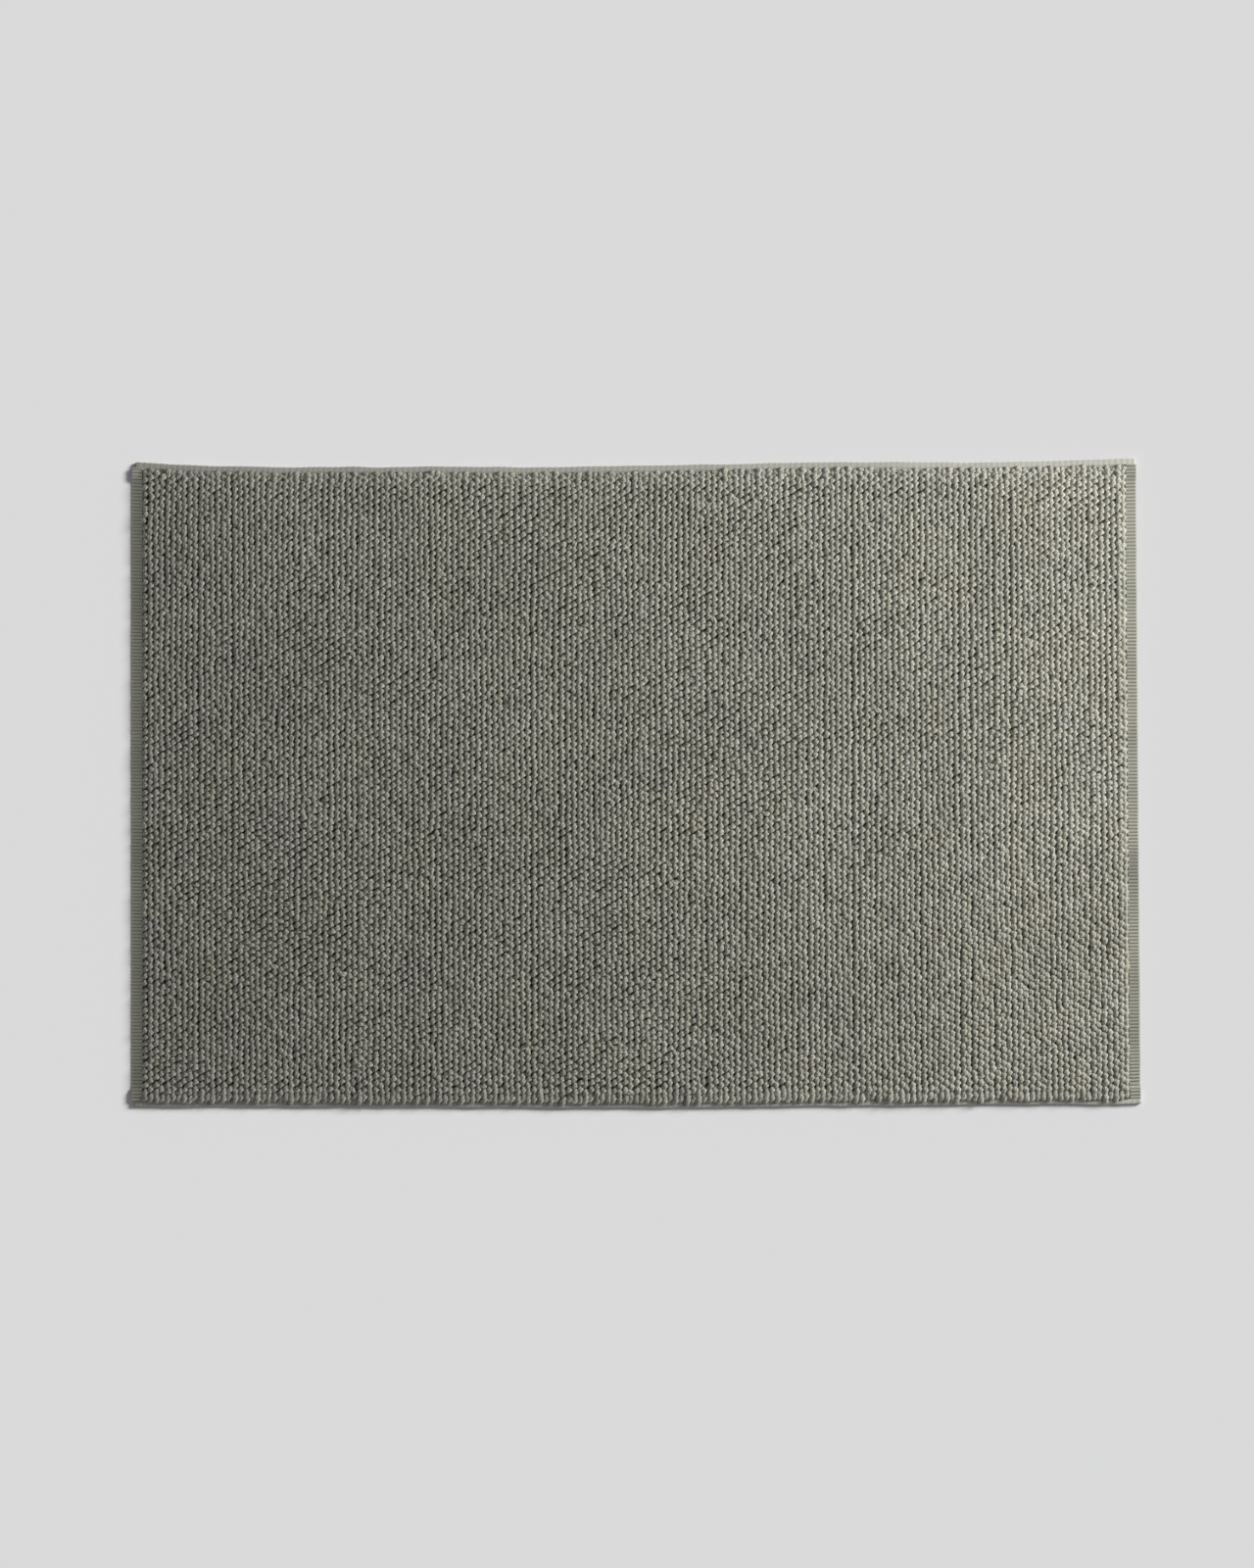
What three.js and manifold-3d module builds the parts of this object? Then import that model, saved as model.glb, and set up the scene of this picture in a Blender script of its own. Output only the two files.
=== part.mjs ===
// Looped cotton bath mat, lying flat on the floor.
//
// A woven ground cloth carries a deep pile of chunky yarn loops. The loops stand in straight
// columns that run from hem to hem (the warp), and neighbouring columns are staggered by half
// a loop. Along both short ends of the mat the cloth finishes in a flat, loop-free selvedge
// with fine weft ribs. Along both long ends a loop-free heading is turned under twice and held
// by one row of lockstitch: a needle thread on top of the cloth, hidden between the loops, and
// a bobbin thread on the underside. A blank folded care label is caught under one hem.
//
// Millimetres. X runs along the mat's long side, Y across it towards the far hem, Z is up.
// The origin is on the floor under the middle of the mat.

import * as THREE from "three";
import { mergeVertices } from "three/addons/utils/BufferGeometryUtils.js";
import Module from "manifold-3d";

const wasm = await Module();
wasm.setup();

// ---- driving dimensions -------------------------------------------------------------------
const LENGTH = 860; // overall, along X, selvedge edge to selvedge edge
const WIDTH = 550; // overall, along Y, hem fold to hem fold
const HEIGHT = 10; // floor to the top of the loops

const COLUMN_PITCH = 4.81; // one column of loops
const COLUMNS = 175;
const LOOP_PITCH = 5.79; // one loop along a column
const PICK = LOOP_PITCH / 2; // one weft rib: neighbouring columns are half a loop apart

const CLOTH = 1.4; // ground cloth thickness
const HEADING = 1.2; // loop-free heading, the cloth that the hem is turned from
const GAP = 0.1; // clearance kept between layers that lie on each other

const SELVEDGE = 9.1; // width of each flat ribbed selvedge
const RIB_DEPTH = 0.45; // weft rib, crest to valley

const HEM_REACH = 13.05; // how far the turned hem reaches in from the fold
const HEM_TOP = 5; // how much flat heading shows outside the loops
const HEM_RAISE = 2 * HEADING + 2 * GAP; // the cloth rides on two turned layers
const HEM_SLOPE = 5.6; // where it comes down to the floor again
const STITCH_IN = 10.5; // seam line, in from the fold

const THREAD = 0.5; // sewing thread diameter
const GROOVE = 0.7; // channel that the thread has pulled into the cloth

const PILE_RIB = 0.8; // valley between two columns of loops
const LABEL_WIDTH = 26;
const LABEL_LENGTH = 44; // shown below the hem's inner fold
const LABEL = 0.3; // folded tape, two layers
const LABEL_X = 355;

// The hems stop a little short of the selvedge's edge where the turned cloth has pulled in.
const FRONT_HEM = [-430, 430];
const BACK_HEM = [-427.4, 428.8];

// ---- helpers ------------------------------------------------------------------------------
const material = (name, color, roughness = 0.95) =>
  new THREE.MeshStandardMaterial({ name, color, roughness, metalness: 0 });

// An outline in the YZ plane, extruded along X from x0 to x1.
function alongX(points, x0, x1) {
  const shape = new THREE.Shape(points.map(([y, z]) => new THREE.Vector2(y, z)));
  const g = new THREE.ExtrudeGeometry(shape, { depth: x1 - x0, bevelEnabled: false });
  // local (x, y, z) = (Y, Z, X)
  g.applyMatrix4(new THREE.Matrix4().set(0, 0, 1, x0, 1, 0, 0, 0, 0, 1, 0, 0, 0, 0, 0, 1));
  return g;
}

// An outline in the XZ plane, extruded along Y from y0 to y1.
function alongY(points, y0, y1) {
  const shape = new THREE.Shape(points.map(([x, z]) => new THREE.Vector2(x, z)));
  const g = new THREE.ExtrudeGeometry(shape, { depth: y1 - y0, bevelEnabled: false });
  // local (x, y, z) = (X, Z, -Y)
  g.applyMatrix4(new THREE.Matrix4().set(1, 0, 0, 0, 0, 0, -1, y1, 0, 1, 0, 0, 0, 0, 0, 1));
  return g;
}

function box(x0, x1, y0, y1, z0, z1) {
  return new THREE.BoxGeometry(x1 - x0, y1 - y0, z1 - z0).translate(
    (x0 + x1) / 2, (y0 + y1) / 2, (z0 + z1) / 2,
  );
}

// A three.js geometry as a solid that can be cut and joined, and back.
function solid(geometry) {
  const g = geometry.index ? geometry.toNonIndexed() : geometry.clone();
  g.deleteAttribute("normal");
  g.deleteAttribute("uv");
  const m = mergeVertices(g, 1e-4);
  return new wasm.Manifold(
    new wasm.Mesh({
      numProp: 3,
      vertProperties: m.attributes.position.array,
      triVerts: new Uint32Array(m.index.array),
    }),
  );
}

function geometryOf(manifold) {
  const m = manifold.getMesh();
  const g = new THREE.BufferGeometry();
  g.setAttribute("position", new THREE.BufferAttribute(new Float32Array(m.vertProperties), 3));
  g.setIndex(new THREE.BufferAttribute(new Uint32Array(m.triVerts), 1));
  const flat = g.toNonIndexed();
  flat.computeVertexNormals();
  return flat;
}

// A band of the given thickness along a centreline in a plane: both offset sides as one outline.
function band(line, thickness) {
  const left = [], right = [];
  line.forEach((p, i) => {
    const a = line[Math.max(i - 1, 0)], b = line[Math.min(i + 1, line.length - 1)];
    const d = new THREE.Vector2(b[0] - a[0], b[1] - a[1]).normalize();
    const t = thickness / 2;
    left.push([p[0] - d.y * t, p[1] + d.x * t]);
    right.push([p[0] + d.y * t, p[1] - d.x * t]);
  });
  return left.concat(right.reverse());
}

function arc(cy, cz, r, from, to, steps) {
  return Array.from({ length: steps + 1 }, (_, i) => {
    const a = THREE.MathUtils.degToRad(from + ((to - from) * i) / steps);
    return [cy + r * Math.cos(a), cz + r * Math.sin(a)];
  });
}

const mirrored = (points) => points.map(([y, z]) => [-y, z]).reverse();

const half = WIDTH / 2;
const raised = half - HEM_REACH + 0.6; // from here outwards the cloth lies on the turned layers
const landed = raised - HEM_SLOPE; // from here inwards it lies on the floor
const clothEnd = half - HEM_TOP; // the hem's top leg takes over
const pileX = (COLUMNS * COLUMN_PITCH) / 2; // 420.9

const group = new THREE.Group();
const sage = 0x7b7b70;
function add(name, geometry, mat) {
  const mesh = new THREE.Mesh(geometry, mat);
  mesh.name = name;
  group.add(mesh);
}

// ---- ground cloth -------------------------------------------------------------------------
// One woven sheet. It lies on the floor and rides up over the turned hem along both long ends.
const clothTop = HEM_RAISE + CLOTH;
const cloth = solid(
  alongX(
    [
      [-clothEnd, HEM_RAISE], [-raised, HEM_RAISE], [-landed, 0],
      [landed, 0], [raised, HEM_RAISE], [clothEnd, HEM_RAISE],
      [clothEnd, clothTop], [raised - 0.5, clothTop], [landed - 0.5, CLOTH],
      [-landed + 0.5, CLOTH], [-raised + 0.5, clothTop], [-clothEnd, clothTop],
    ],
    -pileX, pileX,
  ),
);

// ---- care label ---------------------------------------------------------------------------
// A blank folded tape: its sewn end lies between the cloth and the front hem, its free end on
// the cloth's underside. The cloth is soft and gives way to it by the label's thickness.
const labelLine = [
  [-half + STITCH_IN - 2, HEM_RAISE + 0.2],
  [-raised + 0.15, HEM_RAISE + 0.2],
  [-landed + 0.15, 0.2],
  [-landed + LABEL_LENGTH, 0.2],
];
const label = solid(alongX(band(labelLine, LABEL), LABEL_X - LABEL_WIDTH / 2, LABEL_X + LABEL_WIDTH / 2));
const reliefLine = [
  [labelLine[0][0] - 0.4, labelLine[0][1] - 0.4],
  [labelLine[1][0] - 0.2, labelLine[1][1] - 0.4],
  [labelLine[2][0] - 0.2, labelLine[2][1] - 0.4],
  [labelLine[3][0] + 0.4, labelLine[3][1] - 0.4],
];
const relief = solid(alongX(band(reliefLine, 1.4), LABEL_X - LABEL_WIDTH / 2 - 0.3, LABEL_X + LABEL_WIDTH / 2 + 0.3));
add("ground_cloth", geometryOf(cloth.subtract(relief)), material("ground cloth", 0x6f6f64));
add("care_label", geometryOf(label), material("label", 0xe8e6df, 0.6));

// ---- selvedges ----------------------------------------------------------------------------
// Flat ribbed bands, one rib for each pick of weft. They follow the cloth up over the hems.
function selvedge(x0, x1) {
  const rise = (y) =>
    HEM_RAISE * THREE.MathUtils.clamp((Math.abs(y) - landed) / (raised - landed), 0, 1);
  const top = [];
  const picks = Math.round((2 * clothEnd) / PICK);
  for (let i = 0; i <= 2 * picks; i++) {
    const y = clothEnd - (i * clothEnd) / picks;
    top.push([y, rise(y) + CLOTH + 0.15 + (i % 2 ? 0 : -RIB_DEPTH)]);
  }
  const under = [
    [-clothEnd, HEM_RAISE], [-raised, HEM_RAISE], [-landed, 0],
    [landed, 0], [raised, HEM_RAISE], [clothEnd, HEM_RAISE],
  ];
  return alongX(under.concat(top), x0, x1);
}
const selvedgeX = LENGTH / 2 - SELVEDGE;
add("selvedge_left", selvedge(-LENGTH / 2, -pileX - GAP), material("selvedge", 0x76766b));
add("selvedge_right", selvedge(pileX + GAP, LENGTH / 2), material("selvedge", 0x76766b));

// ---- hems ---------------------------------------------------------------------------------
// The heading runs out from the cloth, folds under at the mat's edge, comes back in, and turns
// once more so that its raw edge is hidden between the layers.
const heading = HEADING / 2;
const outer = (HEM_RAISE + HEADING) / 2 - heading; // fold centreline radius
const foldZ = heading + outer;
const foldY = half - outer - heading;
const inner = (HEADING + GAP) / 2;
const innerY = half - HEM_REACH + inner + heading;
const hemLine = [
  [clothEnd + GAP, heading + 2 * outer],
  ...arc(foldY, foldZ, outer, 90, -90, 10),
  ...arc(innerY, heading + inner, inner, 270, 90, 8),
  [half - 4.4, heading + 2 * inner],
];
const hemOutline = band(hemLine, HEADING);
const threadChannel = (side) =>
  solid(box(-LENGTH, LENGTH, side * (half - STITCH_IN) - GROOVE / 2, side * (half - STITCH_IN) + GROOVE / 2, -1, GROOVE - 0.08));
const hemBack = solid(alongX(hemOutline, BACK_HEM[0], BACK_HEM[1])).subtract(threadChannel(1));
const hemFront = solid(alongX(mirrored(hemOutline), FRONT_HEM[0], FRONT_HEM[1])).subtract(threadChannel(-1));
add("hem_front", geometryOf(hemFront), material("heading", 0x8a887c));
add("hem_back", geometryOf(hemBack), material("heading", 0x8a887c));

// ---- hem seams ----------------------------------------------------------------------------
function thread(x0, x1, y, z) {
  const path = new THREE.LineCurve3(new THREE.Vector3(x0, y, z), new THREE.Vector3(x1, y, z));
  const ring = new THREE.Shape(
    Array.from({ length: 8 }, (_, i) => {
      const a = (i / 8) * 2 * Math.PI + Math.PI / 8;
      return new THREE.Vector2((THREAD / 2) * Math.cos(a), (THREAD / 2) * Math.sin(a));
    }),
  );
  return new THREE.ExtrudeGeometry(ring, { extrudePath: path, steps: 1, bevelEnabled: false });
}
const seamY = half - STITCH_IN;
const seamThread = material("sewing thread", 0x8d8b7e, 0.7);
add("bobbin_thread_front", thread(FRONT_HEM[0] + 3, FRONT_HEM[1] - 3, -seamY, 0.3), seamThread);
add("bobbin_thread_back", thread(BACK_HEM[0] + 3, BACK_HEM[1] - 3, seamY, 0.3), seamThread);
add("needle_thread_front", thread(-pileX + 1, pileX - 1, -seamY, clothTop + 0.3), seamThread);
add("needle_thread_back", thread(-pileX + 1, pileX - 1, seamY, clothTop + 0.3), seamThread);

// ---- loop pile ----------------------------------------------------------------------------
// The loops as one soft body: ribbed along the columns, rounded over at all four sides, and
// notched underneath where it stands over the hems' needle threads.
const ribs = [];
for (let i = 0; i <= 2 * COLUMNS; i++) {
  const x = -pileX + (i * COLUMN_PITCH) / 2;
  ribs.push([x, HEIGHT - (i % 2 ? 0 : PILE_RIB)]);
}
const flank = [
  [pileX - 0.9, HEIGHT - 0.9], [pileX + 0.6, HEIGHT - 3], [pileX + 0.9, 5], [pileX, CLOTH + 0.4],
];
const ribOutline = [
  [-pileX, 0], [pileX, 0],
  ...flank.slice().reverse(),
  ...ribs.slice(1, -1).reverse(),
  ...flank.map(([x, z]) => [-x, z]),
];
const seat = GAP; // the pile's feet stand on the cloth
const endSide = [
  [clothEnd - 0.4, clothTop + seat], [clothEnd + 0.7, clothTop + 1.3],
  [clothEnd + 0.4, HEIGHT - 2.6], [clothEnd - 1.4, HEIGHT - 0.8], [clothEnd - 4.5, HEIGHT + 0.01],
];
const notch = [
  [seamY - 0.45, clothTop + seat], [seamY - 0.45, clothTop + 0.7],
  [seamY + 0.45, clothTop + 0.7], [seamY + 0.45, clothTop + seat],
];
const sideOutline = [
  [landed - 0.6, CLOTH + seat], [raised - 0.6, clothTop + seat], ...notch, ...endSide,
];
const pile = solid(alongY(ribOutline, -half, half)).intersect(
  solid(alongX([...sideOutline, ...mirrored(sideOutline)], -LENGTH, LENGTH)),
).subtract(solid(box(-LENGTH, -pileX - 0.0, -half, half, -1, CLOTH + 0.9)))
  .subtract(solid(box(pileX + 0.0, LENGTH, -half, half, -1, CLOTH + 0.9)))
  .subtract(solid(box(-LENGTH, -pileX, landed - 1, half, -1, clothTop + 0.7)))
  .subtract(solid(box(pileX, LENGTH, landed - 1, half, -1, clothTop + 0.7)))
  .subtract(solid(box(-LENGTH, -pileX, -half, -landed + 1, -1, clothTop + 0.7)))
  .subtract(solid(box(pileX, LENGTH, -half, -landed + 1, -1, clothTop + 0.7)));
add("loop_pile", geometryOf(pile), material("loop pile", sage));

export default group;
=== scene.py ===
"""Looped cotton bath mat on a pale floor, seen straight from above.

Every yarn loop is modelled. The loops stand on a woven ground cloth in 175 columns that run
from hem to hem, neighbouring columns half a loop apart. Ribbed selvedges close the short ends
and turned, stitched hems the long sides. Metres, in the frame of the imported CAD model.
"""

import math

import bpy
import numpy as np
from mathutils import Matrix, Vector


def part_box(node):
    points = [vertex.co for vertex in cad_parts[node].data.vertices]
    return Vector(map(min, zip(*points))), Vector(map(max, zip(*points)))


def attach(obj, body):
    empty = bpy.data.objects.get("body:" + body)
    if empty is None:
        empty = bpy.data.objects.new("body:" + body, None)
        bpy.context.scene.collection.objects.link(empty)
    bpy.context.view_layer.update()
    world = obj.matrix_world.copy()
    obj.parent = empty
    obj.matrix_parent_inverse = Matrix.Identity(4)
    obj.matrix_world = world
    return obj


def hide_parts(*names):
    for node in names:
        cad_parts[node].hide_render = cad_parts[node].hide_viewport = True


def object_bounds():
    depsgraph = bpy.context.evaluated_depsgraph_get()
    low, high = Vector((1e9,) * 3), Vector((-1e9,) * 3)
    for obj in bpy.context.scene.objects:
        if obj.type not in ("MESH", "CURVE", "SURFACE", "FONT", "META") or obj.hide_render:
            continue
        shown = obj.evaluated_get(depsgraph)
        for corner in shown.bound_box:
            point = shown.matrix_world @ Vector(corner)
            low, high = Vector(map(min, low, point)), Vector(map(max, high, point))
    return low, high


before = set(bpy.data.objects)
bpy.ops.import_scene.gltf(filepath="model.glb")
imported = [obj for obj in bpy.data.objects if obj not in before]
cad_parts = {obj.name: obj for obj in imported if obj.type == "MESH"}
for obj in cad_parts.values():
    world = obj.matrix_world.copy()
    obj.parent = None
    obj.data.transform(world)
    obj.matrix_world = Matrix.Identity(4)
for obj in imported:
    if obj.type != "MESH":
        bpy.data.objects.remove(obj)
cad_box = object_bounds()

MM = 0.001
TAU = 2 * math.pi

# ---- driving sizes, in millimetres, the same as the CAD model's ---------------------------
low, high = (np.array(v, float) / MM for v in cad_box)
LENGTH, WIDTH, HEIGHT = (high - low).tolist()
HALF_X, HALF_Y = LENGTH / 2, WIDTH / 2
COLUMN_PITCH, COLUMNS = 4.81, 175
LOOP_PITCH, LOOPS = 5.79, 93
PICK = LOOP_PITCH / 2
CLOTH, HEADING = 1.4, 1.2
HEM_RAISE = 2.6
HEM_REACH, HEM_TOP, HEM_SLOPE = 13.05, 5.0, 5.6
STITCH_IN = 10.5
RAISED = HALF_Y - HEM_REACH + 0.6
LANDED = RAISED - HEM_SLOPE
CLOTH_END = HALF_Y - HEM_TOP
PILE_X = COLUMNS * COLUMN_PITCH / 2


# ---- smooth seeded fields -----------------------------------------------------------------
class Waves:
    """A smooth field over the mat, about -1 to 1: a sum of cosines in seeded directions."""

    def __init__(self, seed, wavelength, count=9, stretch=1.0):
        r = np.random.default_rng(seed)
        angle = r.uniform(0, TAU, count)
        k = TAU / (wavelength * r.uniform(0.7, 1.6, count))
        self.kx, self.ky = k * np.cos(angle), k * np.sin(angle) / stretch
        self.phase = r.uniform(0, TAU, count)
        self.gain = 1.6 / count

    def __call__(self, x, y):
        x, y = np.broadcast_arrays(np.asarray(x, float), np.asarray(y, float))
        out = np.zeros(x.shape)
        for kx, ky, p in zip(self.kx, self.ky, self.phase):
            out += np.cos(kx * x + ky * y + p)
        return out * self.gain


def smooth_interp(x, xs, ys):
    """Interpolates with smoothed knots, so that an edge has no corner in it."""
    x = np.asarray(x, float)
    return sum(w * np.interp(x + d, xs, ys) for d, w in ((-24, 0.2), (-10, 0.2), (0, 0.2), (10, 0.2), (24, 0.2)))


# The mat as it lies: its far edge bows in a little left of the middle, its near edge pulls in
# towards the right, and its right end runs slightly out of square.
FAR = ([-430, -405, -370, -300, -60, 30, 130, 290, 360, 430], [0.5, -1.5, -3.2, -4.2, -4.2, -3.2, -0.2, -0.3, 0.8, 2.9])
NEAR = ([-430, -380, -200, -40, 60, 130, 250, 300, 405, 422, 430], [-0.2, -0.2, -0.7, -1.5, -1.2, -0.4, 1.0, 1.2, 1.9, 0.4, 2.8])
edge_wobble = Waves(5, 46, stretch=2.0)


def lie(x, y):
    """Where a point of the flat mat lies on the floor, in plan."""
    x, y = np.broadcast_arrays(np.asarray(x, float), np.asarray(y, float))
    t = np.clip((y + HALF_Y) / WIDTH, -0.02, 1.02)
    s = np.clip((x + HALF_X) / LENGTH, 0, 1)
    dx = -(s**1.5) * (-1.2 + 4.1 * t)
    near, far = smooth_interp(x, *NEAR), smooth_interp(x, *FAR)
    u = np.abs(2 * t - 1) ** 1.3
    dy = np.where(t > 0.5, far, near) * u
    dy = dy + 0.35 * edge_wobble(x, y) * u
    return x + dx, y + dy


# ---- mesh building ------------------------------------------------------------------------
def mesh_piece(name, verts_mm, faces, uv=None, smooth=True, attributes=None):
    """A piece from numpy arrays. faces is a list of integer arrays, each with one row a face."""
    me = bpy.data.meshes.new(name)
    v = np.asarray(verts_mm, np.float32) * MM
    me.vertices.add(len(v))
    me.vertices.foreach_set("co", v.reshape(-1))
    counts = np.concatenate([np.full(len(f), f.shape[1], np.int32) for f in faces])
    corners = np.concatenate([f.reshape(-1) for f in faces]).astype(np.int32)
    starts = np.concatenate([[0], np.cumsum(counts)[:-1]]).astype(np.int32)
    me.loops.add(len(corners))
    me.loops.foreach_set("vertex_index", corners)
    me.polygons.add(len(counts))
    me.polygons.foreach_set("loop_start", starts)
    me.polygons.foreach_set("use_smooth", np.full(len(counts), smooth))
    if uv is not None:
        layer = me.uv_layers.new(name="Yarn")
        layer.data.foreach_set("uv", np.asarray(uv, np.float32).reshape(-1))
    me.update(calc_edges=True)
    for key, values in (attributes or {}).items():
        a = me.attributes.new(key, "FLOAT", "POINT")
        a.data.foreach_set("value", np.asarray(values, np.float32))
    me.validate()
    ob = bpy.data.objects.new(name, me)
    bpy.context.scene.collection.objects.link(ob)
    return ob


def grid_faces(rows, columns, offset=0, wrap=False, flip=False):
    """Quads over a grid of vertices, rows by columns, in row order."""
    r = np.arange(rows - 1)[:, None]
    c = np.arange(columns if wrap else columns - 1)[None, :]
    c1 = (c + 1) % columns
    q = np.stack([r * columns + c, r * columns + c1, (r + 1) * columns + c1, (r + 1) * columns + c], -1)
    q = q.reshape(-1, 4) + offset
    return q[:, ::-1] if flip else q


# ---- materials ----------------------------------------------------------------------------
class Nodes:
    """A short way to write a node tree."""

    def __init__(self, name):
        self.material = bpy.data.materials.new(name)
        self.material.use_nodes = True
        self.tree = self.material.node_tree
        self.bsdf = next(n for n in self.tree.nodes if n.type == "BSDF_PRINCIPLED")
        self.output = next(n for n in self.tree.nodes if n.type == "OUTPUT_MATERIAL")
        self.coordinates = self.add("ShaderNodeTexCoord").outputs["Object"]

    def add(self, kind, **options):
        n = self.tree.nodes.new(kind)
        for k, v in options.items():
            setattr(n, k, v)
        return n

    def feed(self, socket, value):
        if isinstance(value, bpy.types.NodeSocket):
            self.tree.links.new(value, socket)
        else:
            socket.default_value = value

    def math(self, operation, a, b=0.0, c=0.0, clamp=False):
        n = self.add("ShaderNodeMath", operation=operation, use_clamp=clamp)
        for s, v in zip(n.inputs, (a, b, c)):
            self.feed(s, v)
        return n.outputs[0]

    def noise(self, scale, detail=2.0, roughness=0.5, vector=None, distortion=0.0):
        n = self.add("ShaderNodeTexNoise")
        self.feed(n.inputs["Vector"], self.coordinates if vector is None else vector)
        n.inputs["Scale"].default_value = scale
        n.inputs["Detail"].default_value = detail
        n.inputs["Roughness"].default_value = roughness
        n.inputs["Distortion"].default_value = distortion
        return n.outputs["Fac"]

    def stretched(self, x, y, z):
        n = self.add("ShaderNodeMapping")
        self.feed(n.inputs["Vector"], self.coordinates)
        n.inputs["Scale"].default_value = (x, y, z)
        return n.outputs[0]

    def ramp(self, value, stops):
        n = self.add("ShaderNodeValToRGB")
        self.feed(n.inputs["Fac"], value)
        e = n.color_ramp.elements
        while len(e) < len(stops):
            e.new(0.5)
        for item, (at, colour) in zip(e, stops):
            item.position = at
            item.color = (*colour, 1)
        return n.outputs["Color"]

    def mix(self, kind, factor, a, b):
        n = self.add("ShaderNodeMix", data_type="RGBA", blend_type=kind)
        self.feed(n.inputs["Factor"], factor)
        self.feed(n.inputs["A"], (*a, 1) if isinstance(a, tuple) else a)
        self.feed(n.inputs["B"], (*b, 1) if isinstance(b, tuple) else b)
        return n.outputs["Result"]

    def range(self, value, lo, hi, to_lo, to_hi):
        n = self.add("ShaderNodeMapRange")
        for s, v in zip(n.inputs, (value, lo, hi, to_lo, to_hi)):
            self.feed(s, v)
        return n.outputs[0]

    def grey(self, value):
        n = self.add("ShaderNodeCombineColor")
        for s in n.inputs[:3]:
            self.feed(s, value)
        return n.outputs[0]

    def bump(self, height, distance, strength=1.0, after=None):
        n = self.add("ShaderNodeBump")
        n.inputs["Strength"].default_value = strength
        n.inputs["Distance"].default_value = distance
        self.feed(n.inputs["Height"], height)
        if after is not None:
            self.feed(n.inputs["Normal"], after)
        return n.outputs[0]

    def attribute(self, name):
        return self.add("ShaderNodeAttribute", attribute_name=name).outputs["Fac"]

    def uv(self):
        n = self.add("ShaderNodeUVMap", uv_map="Yarn")
        s = self.add("ShaderNodeSeparateXYZ")
        self.feed(s.inputs[0], n.outputs[0])
        return s.outputs["X"], s.outputs["Y"]

    def xyz(self):
        s = self.add("ShaderNodeSeparateXYZ")
        self.feed(s.inputs[0], self.coordinates)
        return s.outputs["X"], s.outputs["Y"], s.outputs["Z"]

    def wave(self, value, period):
        """A cosine of value, from 0 to 1, with the given period in value's own unit."""
        c = self.math("COSINE", self.math("MULTIPLY", value, TAU / period))
        return self.math("MULTIPLY_ADD", c, 0.5, 0.5)

    def cloth(self, colour, roughness, normal, sheen=0.25, specular=0.18, depth=0.0):
        b = self.bsdf
        if depth:  # cotton fibres let some light through
            b.inputs["Subsurface Weight"].default_value = 0.5
            b.inputs["Subsurface Radius"].default_value = (1.0, 0.95, 0.8)
            b.inputs["Subsurface Scale"].default_value = depth
        self.feed(b.inputs["Base Color"], colour)
        self.feed(b.inputs["Roughness"], roughness)
        self.feed(b.inputs["Normal"], normal)
        b.inputs["Specular IOR Level"].default_value = specular
        b.inputs["Sheen Weight"].default_value = sheen
        b.inputs["Sheen Roughness"].default_value = 0.55
        b.inputs["Sheen Tint"].default_value = (0.86, 0.85, 0.78, 1)
        return self.material


YARN = (0.405, 0.405, 0.343)
YARN_DARK = (0.345, 0.348, 0.292)
YARN_LIGHT = (0.472, 0.470, 0.404)
COOL, COOL_DARK, COOL_LIGHT = (0.382, 0.384, 0.334), (0.254, 0.257, 0.223), (0.529, 0.529, 0.471)
WARM, WARM_DARK, WARM_LIGHT = (0.392, 0.386, 0.318), (0.260, 0.254, 0.202), (0.536, 0.530, 0.448)


def loop_yarn():
    """Soft cotton ply: fibres that wind along it, clumps of them that lie lighter and darker, and
    differences of tone and tint from loop to loop and over the mat. The loops' tone also carries
    painted shade down each loop's legs, a painted highlight over its top and painted light
    towards the hems, and the grooves between fibres get painted shade."""
    n = Nodes("loop_yarn")
    around, along = n.uv()
    fibre_turn = n.math("MULTIPLY_ADD", around, 5.0, n.math("MULTIPLY", along, 0.6))
    fibre = n.noise(3600.0, 3.0, 0.6)
    clump = n.noise(760.0, 2.0, 0.55)
    strands = n.math("MULTIPLY", n.wave(fibre_turn, 1.0), fibre)
    loop_tone_and_shade = n.attribute("tone")
    patch = n.noise(9.0, 2.0, 0.5)
    tone = n.math("MULTIPLY_ADD", patch, 0.45, n.math("MULTIPLY_ADD", loop_tone_and_shade, 0.62, -0.07))
    tone = n.math("MULTIPLY_ADD", n.math("SUBTRACT", fibre, 0.5), 0.6, tone)
    tone = n.math("MULTIPLY_ADD", n.math("SUBTRACT", clump, 0.5), 1.1, tone)
    cool = n.ramp(tone, [(0.05, COOL_DARK), (0.5, COOL), (0.95, COOL_LIGHT)])
    warm = n.ramp(tone, [(0.05, WARM_DARK), (0.5, WARM), (0.95, WARM_LIGHT)])
    tint = n.noise(26.0, 3.0, 0.6, vector=n.stretched(1.0, 0.55, 1.0))
    colour = n.mix("MIX", n.range(tint, 0.34, 0.68, 0.22, 0.88), cool, warm)
    # Painted shade: the ply is darker in colour in the grooves between fibres.
    groove = n.range(strands, 0.0, 0.3, 0.86, 1.0)
    colour = n.mix("MULTIPLY", 1.0, colour, n.grey(groove))
    rough = n.range(fibre, 0.25, 0.75, 0.86, 0.99)
    normal = n.bump(clump, 0.0004, 0.7)
    normal = n.bump(strands, 0.00016, 0.8, normal)
    return n.cloth(colour, rough, normal, depth=0.002)


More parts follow.
